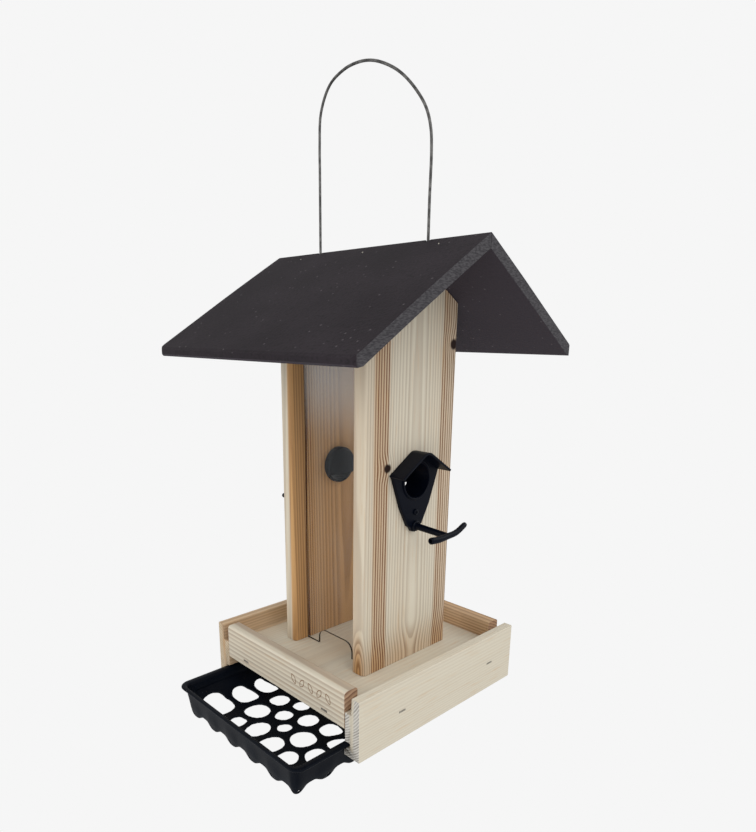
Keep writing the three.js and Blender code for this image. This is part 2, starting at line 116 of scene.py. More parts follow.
# %% Sockets that take arithmetic
def display(red, green, blue):
    """A colour given as it looks on a screen, 0 to 255, as the shader's linear colour."""
    def linear(level):
        level = level / 255
        return level / 12.92 if level < 0.04 else ((level + 0.055) / 1.055) ** 2.4
    return linear(red), linear(green), linear(blue)


class Value:
    """An output socket. Arithmetic on it adds Math nodes."""

    def __init__(self, finish, socket):
        self.finish = finish
        self.socket = socket

    def maths(self, operation, *others, clamp=False):
        return self.finish.node("Math", [self, *others], operation=operation, use_clamp=clamp)

    def __add__(self, other):
        return self.maths("ADD", other)

    def __sub__(self, other):
        return self.maths("SUBTRACT", other)

    def __rsub__(self, other):
        return self.finish.node("Math", [other, self], operation="SUBTRACT")

    def __mul__(self, other):
        return self.maths("MULTIPLY", other)

    def __truediv__(self, other):
        return self.maths("DIVIDE", other)

    __radd__ = __add__
    __rmul__ = __mul__

    def length_with(self, other):
        """The length of a line that goes this far one way and other at right angles."""
        return (self * self + other * other).maths("SQRT")

    def size(self):
        return self.maths("ABSOLUTE")

    def limited(self):
        return self.maths("ADD", 0.0, clamp=True)

    def rising(self, low, high):
        """0 below low and 1 above high, with a smooth step between them."""
        inputs = {"Value": self, "From Min": low, "From Max": high}
        return self.finish.node("MapRange", inputs, interpolation_type="SMOOTHSTEP")


class Finish:
    """One material: a Principled shader and the nodes that feed it."""

    def __init__(self, name, **fixed):
        self.material = bpy.data.materials.new(name)
        self.material.use_nodes = True
        self.tree = self.material.node_tree
        self.shader = self.tree.nodes["Principled BSDF"]
        for word, value in fixed.items():
            self.feed(self.shader.inputs[word.replace("_", " ")], value)

    def feed(self, socket, value):
        if isinstance(value, Value):
            self.tree.links.new(value.socket, socket)
        elif socket.type == "RGBA":
            socket.default_value = (*value, 1)
        else:
            socket.default_value = value

    def node(self, kind, inputs=(), out=0, stops=(), **settings):
        node = self.tree.nodes.new("ShaderNode" + kind)
        for word, value in settings.items():
            setattr(node, word, value)
        if stops:
            elements = node.color_ramp.elements
            elements.remove(elements[1])
            elements[0].position = stops[0][0]
            elements[0].color = (*(stops[0][1],) * 3, 1)
            for position, level in stops[1:]:
                elements.new(position).color = (level, level, level, 1)
        pairs = inputs.items() if isinstance(inputs, dict) else enumerate(inputs)
        for key, value in pairs:
            self.feed(node.inputs[key], value)
        return Value(self, node.outputs[out])

    def place(self):
        return self.node("TexCoord", out="Object")

    def parts(self, vector):
        return [self.node("SeparateXYZ", [vector], out=i) for i in range(3)]

    def noise(self, vector, scale, detail=2.0):
        return self.node("TexNoise", {"Vector": vector, "Scale": scale, "Detail": detail})

    def mixed(self, first, second, share, how="MIX"):
        inputs = {0: share, 6: first, 7: second}
        return self.node("Mix", inputs, out=2, data_type="RGBA", blend_type=how)

    def bumped(self, relief, depth, strength):
        inputs = {"Height": relief, "Distance": depth, "Strength": strength}
        self.feed(self.shader.inputs["Normal"], self.node("Bump", inputs))

    def done(self, colour, roughness):
        self.feed(self.shader.inputs["Base Color"], colour)
        self.feed(self.shader.inputs["Roughness"], roughness)
        print("finish:", self.material.name, len(self.tree.nodes), "nodes")
        return self.material


# %% Room light, lamps and floor
BACKDROP = display(246, 246, 246)
ROOM_LIGHT = 0.7
FLOOR_DROP = 1.2
FLOOR_HALF = 30

world = bpy.data.worlds.new("room")
world.use_nodes = True
bpy.context.scene.world = world
sky = world.node_tree.nodes["Background"]
sky.inputs["Color"].default_value = (*BACKDROP, 1)
ray = world.node_tree.nodes.new("ShaderNodeLightPath")
level = world.node_tree.nodes.new("ShaderNodeMapRange")
level.inputs["To Min"].default_value = ROOM_LIGHT
world.node_tree.links.new(ray.outputs["Is Camera Ray"], level.inputs["Value"])
world.node_tree.links.new(level.outputs["Result"], sky.inputs["Strength"])

LAMPS = [
    # name, azimuth, elevation, distance, width, watts
    ("lamp_right", 75, 35, 1.7, 1.1, 8.0),
    ("lamp_left", -20, 16, 1.7, 1.1, 7.5),
    ("lamp_low", 30, -20, 1.6, 0.9, 3.5),
    ("lamp_rear", 150, 30, 1.7, 1.1, 6.0),
]
for name, azimuth, elevation, distance, width, watts in LAMPS:
    lamp = bpy.data.objects.new(name, bpy.data.lights.new(name, "AREA"))
    lamp.data.size = width
    lamp.data.energy = watts
    bpy.context.scene.collection.objects.link(lamp)
    axes = directions(azimuth, elevation, 0)
    lamp.matrix_world = placed(*axes, LOOK_AT + axes[2] * distance)

floor_finish = Finish("pale_floor", Base_Color=(0, 0, 0), Emission_Color=BACKDROP, Emission_Strength=1.0)
floor_finish.shader.inputs["Specular IOR Level"].default_value = 0.0
ground = bmesh.new()
bmesh.ops.create_grid(ground, x_segments=1, y_segments=1, size=FLOOR_HALF)
bmesh.ops.translate(ground, verts=ground.verts, vec=(0, 0, TRAY_BASE - FLOOR_DROP))
floor_mesh = bpy.data.meshes.new("floor")
ground.to_mesh(floor_mesh)
floor_mesh.materials.append(floor_finish.material)
floor = bpy.data.objects.new("floor", floor_mesh)
bpy.context.scene.collection.objects.link(floor)
floor.visible_diffuse = False
floor.visible_glossy = False
print("lamps:", len(LAMPS), "floor", round(TRAY_BASE - FLOOR_DROP, 2), "m")

# %% [markdown]
# ## Pine
# Every board was sawn from a trunk, and a trunk is a stack of cone-thin cylinders, one
# for each year. So the grain isn't painted on: a ring is a distance from the trunk's
# middle, the pith, and each board says where its pith was. Lines then come out close
# together where a face crosses the rings, wide apart where it runs along them, and they
# turn the corner on to the end grain by themselves.

# %% Pine boards
PALE_WOOD = display(217, 209, 190)
HONEY_WOOD = display(200, 156, 104)
RING_WOOD = display(112, 68, 34)
KNOT_WOOD = display(32, 12, 4)
GREY_END = display(206, 203, 197), display(112, 108, 103)
BROWN_END = display(178, 140, 110), display(112, 74, 50)
TAN_END = display(208, 194, 168), display(150, 124, 94)

LATE_WOOD = [(0, 0.85), (0.1, 0.05), (0.35, 0.08), (0.62, 0.6), (0.85, 1)]


def pine(name, along, pith, ring=2.6, lines=0.4, warmth=0.15, bands=(), knots=(), flames=(),
         end=GREY_END, wander=7.0, lean=0.0, seed=0.0):
    """A board with its grain along one axis. pith is its trunk's middle, in mm on the other
    two axes, and ring a year's growth in mm. A band is (axis, middle, half width, warmth, lines),
    a knot is (axis, place, axis, place, radius), a flame, where the rings bulge towards the
    face, is (axis, place, half width, axis, place, half length, bulge), all in mm. A band or a
    flame can also carry painted shade: warmer, more lined wood on a face that sits in shade.
    wander is how far the grain strays in mm, and lean tilts the pith."""
    finish = Finish(name, Specular_IOR_Level=0.3)
    place = finish.place()
    coordinate = dict(zip("XYZ", finish.parts(place)))
    across = [axis for axis in "XYZ" if axis != along]
    drawn_out = tuple(0.06 if axis == along else 1.0 for axis in "XYZ")
    shifted = {"Vector": place, "Location": (seed, 1.7 * seed, 0.6 * seed), "Scale": drawn_out}
    grain = finish.node("Mapping", shifted)
    bend = finish.noise(grain, 22) - 0.5
    quiver = finish.noise(grain, 170) - 0.5

    offsets = [coordinate[axis] - middle * MM for axis, middle in zip(across, pith)]
    reach = offsets[0].length_with(offsets[1])
    reach = reach + bend * (wander * MM) + quiver * (0.9 * MM) + coordinate[along] * lean
    knot_dark = None
    for first, at_first, second, at_second, radius in knots:
        away = [coordinate[first] - at_first * MM, coordinate[second] - at_second * MM]
        distance = away[0].length_with(away[1]) / (radius * MM)
        reach = reach + (1 - distance.rising(0.2, 4.5)) * (2.4 * MM)
        spot = 1 - (distance + quiver * 0.8).rising(0.7, 1.3)
        knot_dark = spot if knot_dark is None else knot_dark.maths("MAXIMUM", spot)

    flame_warm = None
    for first, at_first, half_wide, second, at_second, half_long, bulge in flames:
        away = [
            (coordinate[first] - at_first * MM) / (half_wide * MM),
            (coordinate[second] - at_second * MM) / (half_long * MM),
        ]
        near = 1 - away[0].length_with(away[1]).rising(0.0, 1.1)
        reach = reach + near * (bulge * MM)
        flame_warm = near if flame_warm is None else flame_warm.maths("MAXIMUM", near)

    year = reach / (ring * MM)
    season = year.maths("FRACT")
    late = finish.node("ValToRGB", [season], stops=LATE_WOOD)
    mood = finish.node("TexWhiteNoise", {"W": year.maths("FLOOR") + seed}, noise_dimensions="1D")
    strength = mood * 0.35 + 0.65
    warm = bend * 0.9 + warmth
    line_force = lines
    for axis, middle, half, extra_warmth, extra_lines in bands:
        away = (coordinate[axis] - middle * MM + bend * (3 * MM)).size()
        stripe = 1 - away.rising((half - 1.5) * MM, (half + 1.5) * MM)
        warm = warm + stripe * extra_warmth
        line_force = stripe * extra_lines + line_force
    if flame_warm is not None:
        warm = warm + flame_warm * 0.9
        line_force = flame_warm * 0.75 + line_force
    streaks = finish.noise(grain, 520, 4.0)
    ground_colour = finish.mixed(PALE_WOOD, HONEY_WOOD, warm.limited())
    wood = finish.mixed(ground_colour, RING_WOOD, (late * strength * line_force).limited())
    wood = finish.mixed(wood, HONEY_WOOD, streaks.rising(0.52, 0.75) * 0.25)
    if knot_dark is not None:
        wood = finish.mixed(wood, KNOT_WOOD, knot_dark)

    facing = dict(zip("XYZ", finish.parts(finish.node("TexCoord", out="Normal"))))[along].size()
    end_colour = finish.mixed(*end, (late * strength).limited())
    colour = finish.mixed(wood, end_colour, facing.rising(0.6, 0.85) * 0.85)
    finish.bumped(streaks * 0.5 - late * 0.5, 0.25 * MM, 0.35)
    return finish.done(colour, streaks * 0.2 + 0.52)


Z_DOWN = TRAY_BASE / MM
panel_right_pine = pine(
    "pine_panel_right", "Z", (37, 5), ring=2.6, lines=0.36, warmth=0.08,
    bands=[("Y", -36, 8.2, 0.4, 0.8), ("Y", 44, 9.5, 0.36, 0.65)],
    knots=[("Y", 48.4, "Z", Z_DOWN + 311, 4.3), ("Y", -28.5, "Z", Z_DOWN + 215, 3.5)],
    flames=[("X", 47, 10, "Z", Z_DOWN + 40, 42, 9)], wander=2.2, lean=0.006, seed=3.1,
)
# On the left panel the band and the flame are painted shade: they warm and darken the inner face, most of
# all in front of the window, where it sits in shade between the boards.
panel_left_pine = pine(
    "pine_panel_left", "Z", (-70, 12), ring=2.4, lines=0.25, warmth=0.08, lean=-0.01, seed=8.4,
    bands=[("X", -40, 3.5, 0.95, 0.3)], flames=[("X", -41, 6, "Y", -37, 10, 0.5)], wander=4.0,
)
side_right_pine = pine(
    "pine_side_right", "Y", (38, Z_DOWN + 84), ring=1.9, lines=0.13, warmth=0.0, seed=1.3,
)
side_left_pine = pine(
    "pine_side_left", "Y", (-120, Z_DOWN - 20), ring=2.6, lines=0.35, warmth=0.6, end=TAN_END, seed=5.2,
)
front_pine = pine(
    "pine_front", "X", (-70, Z_DOWN - 16), ring=3.7, lines=0.45, warmth=0.12, end=BROWN_END, seed=2.2,
)
rear_pine = pine(
    "pine_rear", "X", (75, Z_DOWN + 4), ring=2.8, lines=0.6, warmth=0.75, end=BROWN_END, seed=6.6,
)
floor_pine = pine(
    "pine_floor", "Y", (10, Z_DOWN - 10), ring=3.2, lines=0.1, warmth=0.06, seed=4.5,
)

# %% [markdown]
# ## The roof's coat
# The boards carry a dark, fine-grained coat, like the skin of a mineral roofing felt:
# matte, a little purple, with pale grit here and there. Where the boards were cut at the
# gables the coat is thinner, so those ends look grey and rough. The face that points
# along X is such an end.

# %% Roof coat
def roof_coat():
    finish = Finish("roof_coat", Specular_IOR_Level=0.25)
    place = finish.place()
    cloud = finish.noise(place, 14, 4.0)
    hide = finish.noise(place, 420, 3.0)
    sand = finish.noise(place, 1500, 2.0)
    cells = {"Vector": place, "Scale": 210.0}
    distance = finish.node("TexVoronoi", cells, out="Distance")
    chance = finish.parts(finish.node("TexVoronoi", cells, out="Color"))[0]
    grit = (1 - distance.rising(0.1, 0.22)) * chance.rising(0.8, 0.86)
    colour = finish.mixed(display(27, 20, 26), display(40, 33, 39), cloud.rising(0.3, 0.75))
    colour = finish.mixed(colour, display(18, 14, 18), hide.rising(0.48, 0.72) * 0.7)
    colour = finish.mixed(colour, display(74, 68, 74), sand.rising(0.6, 0.8) * 0.3)
    across, _, upward = finish.parts(finish.node("TexCoord", out="Normal"))
    # Faces that point down are painted a lighter purple-grey: painted light on the roof's shaded
    # undersides.
    colour = finish.mixed(colour, display(56, 50, 58), 1 - upward.rising(-0.7, -0.3))
    gable = across.size().rising(0.75, 0.95)
    fibres = finish.node("Mapping", {"Vector": place, "Scale": (1, 0.25, 1)})
    fluff = finish.noise(fibres, 1300, 3.0).rising(0.3, 0.7)
    rough_end = finish.mixed(display(46, 44, 48), display(76, 74, 77), fluff)
    colour = finish.mixed(colour, rough_end, gable)
    colour = finish.mixed(colour, display(112, 106, 110), grit * 0.45)
    finish.bumped(hide + sand * 0.4 + grit * 0.5, 0.4 * MM, 0.55)
    return finish.done(colour, sand * 0.2 + 0.66)


roof_finish = roof_coat()

# %% [markdown]
# ## Plastics, clear sheet and metal
# The ports and the drawer are moulded in black plastic with a fine spark-eroded skin, so
# they shine softly. The clear sheets show by painted reflections: a Layer Weight drives the alpha
# of a pale colour towards a glancing view, a painted reflection whitens their upper part, and a trace of
# dust keeps it from zero.

# %% Plastics, clear sheet and metal
def moulded(name, dark, light, gloss):
    finish = Finish(name, Specular_IOR_Level=0.09)
    place = finish.place()
    skin = finish.noise(place, 2200, 2.0)
    wear = finish.noise(place, 45, 5.0)
    colour = finish.mixed(dark, light, wear.rising(0.42, 0.8))
    finish.bumped(skin, 0.05 * MM, 0.3)
    return finish.done(colour, wear * 0.18 + gloss)


def clear_sheet():
    finish = Finish("clear_sheet", Specular_IOR_Level=0.4)
    place = finish.place()
    haze = finish.noise(finish.node("Mapping", {"Vector": place, "Scale": (1, 1, 0.3)}), 38, 5.0)
    # The Layer Weight is a painted reflection that grows towards a glancing view.
    glance = finish.node("LayerWeight", {"Blend": 0.25}, out="Facing")
    # The upper part of each sheet is whitened: a painted reflection, not dust.
    painted_reflection_top = finish.parts(place)[2].rising(height(225), height(300))
    # The sheet's cut edges, the faces that don't point along Y, are made opaque dark brown: painted shade
    # for the shadow of the grooves that hold the sheet.
    painted_edge_shade = 1 - finish.parts(finish.node("TexCoord", out="Normal"))[1].size().rising(0.3, 0.8)
    clear = glance * glance * 0.2 + haze.rising(0.45, 0.8) * 0.03 + painted_reflection_top * 0.26 + 0.01
    finish.feed(finish.shader.inputs["Alpha"], clear.maths("MAXIMUM", painted_edge_shade).limited())
    colour = finish.mixed(display(222, 226, 226), display(44, 33, 24), painted_edge_shade)
    return finish.done(colour, haze * 0.08 + 0.06)


def metal(name, dark, light, gloss, patches):
    finish = Finish(name, Metallic=0.75)
    place = finish.place()
    tarnish = finish.noise(place, patches, 5.0)
    colour = finish.mixed(dark, light, tarnish.rising(0.35, 0.7))
    finish.bumped(finish.noise(place, 2500, 2.0), 0.04 * MM, 0.3)
    return finish.done(colour, tarnish * 0.25 + gloss)


port_finish = moulded("port_plastic", display(4, 8, 20), display(9, 13, 24), 0.3)
drawer_finish = moulded("drawer_plastic", display(4, 9, 19), display(11, 17, 27), 0.32)
clear_finish = clear_sheet()
wire_finish = metal("dark_wire", display(74, 73, 72), display(118, 117, 115), 0.42, 240)
steel_finish = metal("staple_steel", display(150, 144, 134), display(196, 190, 180), 0.34, 300)
burnt = Finish("burnt_wood", Specular_IOR_Level=0.2)
char = burnt.noise(burnt.place(), 900, 3.0)
burnt_finish = burnt.done(burnt.mixed(display(96, 64, 38), display(146, 108, 72), char), 0.7)

# %% [markdown]
# ## Turning shapes into pieces
# Every new piece ends the same way: its faces are smoothed except at hard corners, its
# normals are weighted by face size so that flat faces stay flat beside a soft edge, and
# it rides on a body of the frame. Two more helpers do most of the shaping. `sawn` takes
# a merged copy of a fitted part and eases its corners, and `drawn` draws a round bar
# along a path, one ring at a time.

# %% Piece helpers
HARD_CORNER = math.radians(40)


def is_vertex(item):
    return isinstance(item, bmesh.types.BMVert)


def is_edge(item):
    return isinstance(item, bmesh.types.BMEdge)


def is_face(item):
    return isinstance(item, bmesh.types.BMFace)


def piece(name, shape, body, finish, stands_for=()):
    """Makes a finished bmesh an object that rides on a body and takes a finish."""
    mesh = bpy.data.meshes.new(name)
    shape.to_mesh(mesh)
    shape.free()
    mesh.materials.append(finish)
    mesh.shade_smooth()
    mesh.set_sharp_from_angle(angle=HARD_CORNER)
    made = bpy.data.objects.new(name, mesh)
    bpy.context.scene.collection.objects.link(made)
    even = made.modifiers.new("even_normals", "WEIGHTED_NORMAL")
    even.keep_sharp = True
    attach(made, body)
    if stands_for:
        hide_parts(*stands_for)
    print("piece:", name, len(mesh.polygons), "faces")
    return made


def eased(shape, geometry, width, segments=3, affect="EDGES"):
    """Rounds some edges or corner points of a shape."""
    bmesh.ops.bevel(
        shape, geom=geometry, offset=width, offset_type="OFFSET", segments=segments,
        profile=0.5, affect=affect, clamp_overlap=True, material=-1,
    )


def facing_out(shape):
    """Turns a shape's faces outwards."""
    bmesh.ops.recalc_face_normals(shape, faces=shape.faces)


def moved(shape, items, way):
    """Moves the vertices among some items."""
    bmesh.ops.translate(shape, verts=[v for v in items if is_vertex(v)], vec=way)


def corners(shape, wanted, least=math.radians(30)):
    """The outer corner edges of a shape whose middle point and length are wanted."""
    return [
        edge for edge in shape.edges
        if len(edge.link_faces) == 2 and edge.calc_face_angle_signed(0) > least
        and wanted((edge.verts[0].co + edge.verts[1].co) / 2, edge.calc_length())
    ]


def copied(node):
    """A merged copy of a fitted part, with its flat faces whole again."""
    shape = bmesh.new()
    shape.from_mesh(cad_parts[node].data)
    bmesh.ops.remove_doubles(shape, verts=shape.verts, dist=0.02 * MM)
    bmesh.ops.dissolve_limit(
        shape, angle_limit=math.radians(0.5), verts=shape.verts, edges=shape.edges,
    )
    return shape


def sawn(name, node, body, finish, width, wanted):
    """A board: a copy of a fitted part with its wanted corners eased."""
    shape = copied(node)
    eased(shape, corners(shape, wanted), width)
    return piece(name, shape, body, finish, [node])


def grown_ring(shape, ring, loop):
    """Extrudes a closed ring once. Returns the new ring, in the old one's order, and its edges."""
    grown = bmesh.ops.extrude_edge_only(shape, edges=loop)["geom"]
    fresh = {item for item in grown if is_vertex(item)}
    following = [
        next(e.other_vert(v) for e in v.link_edges if e.other_vert(v) in fresh) for v in ring
    ]
    return following, [item for item in grown if is_edge(item) and fresh.issuperset(item.verts)]


def drawn(shape, path, radii, sides):
    """Adds a round bar to a shape, along a path of points with a radius at each. Returns
    its two end faces."""
    ring = None
    side = Vector((0, 1, 0))
    for i, point in enumerate(path):
        ahead = (path[min(i + 1, len(path) - 1)] - path[max(i - 1, 0)]).normalized()
        side = (side - ahead * side.dot(ahead)).normalized()
        turned = placed(side, ahead.cross(side), ahead, point) @ Matrix.Scale(radii[i], 4)
        angles = [2 * math.pi * k / sides for k in range(sides)]
        if ring is None:
            ring = bmesh.ops.create_circle(shape, segments=sides, radius=1)["verts"]
            loop = [e for e in shape.edges if e.verts[0] in ring and e.verts[1] in ring]
            caps = bmesh.ops.contextual_create(shape, geom=loop)["faces"]
        else:
            ring, loop = grown_ring(shape, ring, loop)
        for vertex, angle in zip(ring, angles):
            vertex.co = turned @ Vector((math.cos(angle), math.sin(angle), 0))
    return caps + bmesh.ops.contextual_create(shape, geom=loop)["faces"]


# %% [markdown]
# ## Tray, hopper boards and roof
# Planed boards have their corners just broken. The tray's boards lose about a millimetre
# at each long edge, and the hopper panels, which were run through a rounding cutter, have
# soft upright edges of three millimetres. The small edges of holes and staple slots stay
# crisp, so an edge is eased only when it is long.

# %% Tray boards
BOARD_EASE = 0.9 * MM
SHORT_EDGE = 10.5 * MM


def long_edge(middle, long):
    return long > SHORT_EDGE


for name, node, finish in [
    ("side_board_right", "tray_side_right", side_right_pine),
    ("side_board_left", "tray_side_left", side_left_pine),
    ("front_board", "tray_front_board", front_pine),
    ("rear_board", "tray_rear_board", rear_pine),
    ("floor_board", "tray_floor", floor_pine),
]:
    sawn(name, node, "housing", finish, BOARD_EASE, long_edge)

# %% Hopper panels
PANEL_CORNER = 3 * MM
for side, finish in [("right", panel_right_pine), ("left", panel_left_pine)]:
    node = "hopper_panel_" + side
    low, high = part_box(node)
    shape = copied(node)

    def upright(middle, long):
        at_corner = min(abs(middle.y - low.y), abs(middle.y - high.y)) < 0.5 * MM
        return at_corner and long > 200 * MM

    eased(shape, corners(shape, upright), PANEL_CORNER, 5)
    piece("panel_" + side, shape, "housing", finish, [node])

# %% Roof boards
ROOF_EASE = 0.7 * MM
MITRE_HALF = 9 * MM
GABLE_X = 119 * MM


def roof_rim(middle, long):
    in_the_mitre = abs(middle.y) < MITRE_HALF and abs(middle.x) < GABLE_X
    return not in_the_mitre


for side in ("front", "rear"):
    node = "roof_board_" + side
    sawn("roof_" + side, node, "roof", roof_finish, ROOF_EASE, roof_rim)

# %% [markdown]
# ## Clear windows and the wire
# The windows are cut sheet, so their edges are only just eased. The wire is one length of
# stiff wire: it hooks through the left panel, goes up through the roof, over the top and
# down again. It is drawn along the same points that the fitted wire follows.

# %% Windows
SHEET_EASE = 0.25 * MM


def every_edge(middle, long):
    return True


for side in ("front", "rear"):
    node = "window_" + side
    sawn("clear_" + side, node, "housing", clear_finish, SHEET_EASE, every_edge)

# %% Hanging wire
# Heights and distances along X are in mm.
WIRE_RADIUS = 1.1 * MM
WIRE_HOLE = 352
RIDGE = 386.8
WIRE_LEFT = -61
WIRE_RIGHT = 63.5
LOOP = [
    (-61, 452), (-61, 471), (-59, 495), (-48, 512.5), (-31, 519.6), (-14.5, 520.8), (0, 518.6), (15, 512.9),
    (31, 503.5), (46, 490), (57.5, 475), (62.5, 461), (63.8, 446),
]


def hook(x, side):
    """One end of the wire, from its tail inside the hopper up past the ridge."""
    inside = [(side * 33, WIRE_HOLE + 6), (side * 33.6, WIRE_HOLE + 2), (side * 37, WIRE_HOLE)]
    through = [(side * 45, WIRE_HOLE), (side * 53.5, WIRE_HOLE), (x - side * 2.4, WIRE_HOLE + 1)]
    upward = [(x, WIRE_HOLE + 5), (x, WIRE_HOLE + 12), (x, RIDGE), (x, RIDGE + 30)]
    return inside + through + upward


def smooth_path(points, steps):
    """Points on a centripetal curve through the given ones, with steps between each pair."""
    ends = [points[0] * 2 - points[1], *points, points[-1] * 2 - points[-2]]
    path = []
    for a, b, c, d in zip(ends, ends[1:], ends[2:], ends[3:]):
        t = [0.0]
        for p, q in ((a, b), (b, c), (c, d)):
            t.append(t[-1] + math.sqrt((q - p).length))
        for i in range(steps):
            s = t[1] + (t[2] - t[1]) * i / steps
            between = (s - t[1]) / (t[2] - t[1])
            bc = b.lerp(c, between)
            before = a.lerp(b, s / t[1]).lerp(bc, s / t[2])
            after = bc.lerp(c.lerp(d, (s - t[2]) / (t[3] - t[2])), (s - t[1]) / (t[3] - t[1]))
            path.append(before.lerp(after, between))
    return path + [points[-1]]


wire_line = [*hook(WIRE_LEFT, -1), *LOOP, *reversed(hook(WIRE_RIGHT, 1))]
wire_path = smooth_path([Vector((x * MM, 0, height(z))) for x, z in wire_line], 6)
wire = bmesh.new()
drawn(wire, wire_path, [WIRE_RADIUS] * len(wire_path), 12)
facing_out(wire)
piece("wire_loop", wire, "housing", wire_finish, ["hanging_wire"])

# %% [markdown]
# ## Feeding ports
# A port is one moulding: a kite-shaped plate with a rounded hole, a throat that runs back
# through the panel, a raised rim round the hole, a small roof over it and a socket for
# the perch. Each of these is its own closed shape, and they meet inside one piece. All are
# made on the right-hand panel, facing +X, and the left one is turned half round.
#
# The plate starts from the hole: a ring of points is spread out to the kite's outline
# along its own rays, so the faces between stay in order and the hole stays round.

# %% Port sizes
port_low, port_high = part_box("port_body_right")
baffle_low, baffle_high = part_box("port_baffle_right")
PORT_CENTRE = (baffle_low.z + baffle_high.z) / 2
PLATE_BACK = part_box("hopper_panel_right")[1].x + 0.3 * MM
PLATE_FACE = PLATE_BACK + 3.5 * MM
PORT_SHIFT = (port_low.y + port_high.y) / 2
HOLE_RADIUS = 15 * MM
HOOD_REACH = 13 * MM
HOOD_HALF = 29.6 * MM
HOOD_EAVE = 7 * MM
HOOD_TOP = 26.5 * MM
HOOD_BEND = 6 * MM
SOCKET_RADIUS = 4.4 * MM
PERCH_HEIGHT = height(162.5)
# The kite's corners in mm from the hole's middle: its right half, and then the whole.
HALF_KITE = [(0, 24), (28.2, 7), (17.5, -22), (8.5, -39), (5.6, -40.5), (3.6, -44), (0, -45.1)]
KITE = HALF_KITE + [(-y, z) for y, z in reversed(HALF_KITE[1:-1])]


def to_side(shape, side):
    """Moves a shape made on the middle of the right-hand panel to its place there, or turns
    it half round for the left-hand one."""
    if side == "left":
        half_turn = Matrix.Rotation(math.pi, 3, "Z")
        bmesh.ops.rotate(shape, verts=shape.verts, cent=(0, 0, 0), matrix=half_turn)
    else:
        moved(shape, shape.verts, (0, PORT_SHIFT, 0))


def on_both_panels(name, make, node):
    """Makes a piece of each port."""
    for side in ("right", "left"):
        shape = make()
        to_side(shape, side)
        piece(f"{name}_{side}", shape, "housing", port_finish, [f"{node}_{side}"])


def kite_reach(angle):
    """How far the kite's outline is from the hole's middle, in the direction of angle."""
    points = [(y * MM, z * MM) for y, z in KITE]
    way = Vector((math.cos(angle), math.sin(angle)))
    for (y0, z0), (y1, z1) in zip(points, points[1:] + points[:1]):
        cross = way.x * (z1 - z0) - way.y * (y1 - y0)
        if abs(cross) < 1e-12:
            continue
        reach = (y0 * (z1 - z0) - z0 * (y1 - y0)) / cross
        share = (y0 * way.y - z0 * way.x) / cross
        if reach > 0 and -1e-6 <= share <= 1 + 1e-6:
            return reach
    return HOLE_RADIUS


# %% Port plate
def port_plate(shape):
    """The kite, made flat on XY with its hole, given its thickness and turned to face +X."""
    inner = bmesh.ops.create_circle(shape, segments=120, radius=HOLE_RADIUS)["verts"]
    ring = [e for e in shape.edges if e.verts[0] in inner and e.verts[1] in inner]
    grown = bmesh.ops.extrude_edge_only(shape, edges=ring)["geom"]
    outer = [v for v in grown if is_vertex(v)]
    corner_angles = [math.atan2(z, y) for y, z in KITE]
    for vertex in outer:
        angle = math.atan2(vertex.co.y, vertex.co.x)
        nearest = min(corner_angles, key=lambda a: abs(math.remainder(a - angle, 2 * math.pi)))
        if abs(math.remainder(nearest - angle, 2 * math.pi)) < math.radians(1.5):
            angle = nearest
        reach = kite_reach(angle)
        vertex.co = Vector((math.cos(angle), math.sin(angle), 0)) * reach
    faces = [f for f in grown if is_face(f)]
    deep = bmesh.ops.extrude_face_region(shape, geom=faces)["geom"]
    moved(shape, deep, (0, 0, PLATE_FACE - PLATE_BACK))
    face_x = Matrix(((0, 0, 1), (1, 0, 0), (0, 1, 0))).to_4x4()
    place = Matrix.Translation((PLATE_BACK, 0, PORT_CENTRE)) @ face_x
    bmesh.ops.transform(shape, verts=shape.verts, matrix=place)
    facing_out(shape)
    on_face = PLATE_FACE - 0.1 * MM
    front = [e for e in corners(shape, every_edge) if min(v.co.x for v in e.verts) > on_face]
    eased(shape, front, 0.6 * MM, 3)


# %% Throat, rim, hood and socket
def turned_on_port(shape, profile, steps, closed):
    """Spins a profile of (x, radius) points, open or closed, round the port's axis."""
    verts = [shape.verts.new((x, 0, PORT_CENTRE + radius)) for x, radius in profile]
    following = verts[1:] + verts[:1] if closed else verts[1:]
    edges = [shape.edges.new(pair) for pair in zip(verts, following)]
    bmesh.ops.spin(
        shape, geom=verts + edges, cent=(0, 0, PORT_CENTRE), axis=(1, 0, 0),
        angle=2 * math.pi, steps=steps, use_merge=True,
    )


def port_throat(shape):
    low = port_low.x
    soft = 0.5 * MM
    wall = HOLE_RADIUS + 0.7 * MM
    lip = HOLE_RADIUS + 1.7 * MM
    turned_on_port(shape, [
        (low, HOLE_RADIUS + soft), (low + soft, HOLE_RADIUS), (PLATE_FACE + 0.9 * MM, HOLE_RADIUS),
        (PLATE_FACE + 1.4 * MM, HOLE_RADIUS + soft), (PLATE_FACE + 1.4 * MM, lip - soft),
        (PLATE_FACE + 0.9 * MM, lip), (PLATE_FACE - 0.6 * MM, lip), (PLATE_FACE - 1.2 * MM, wall),
        (low + soft, wall), (low, wall - soft),
    ], 72, closed=True)


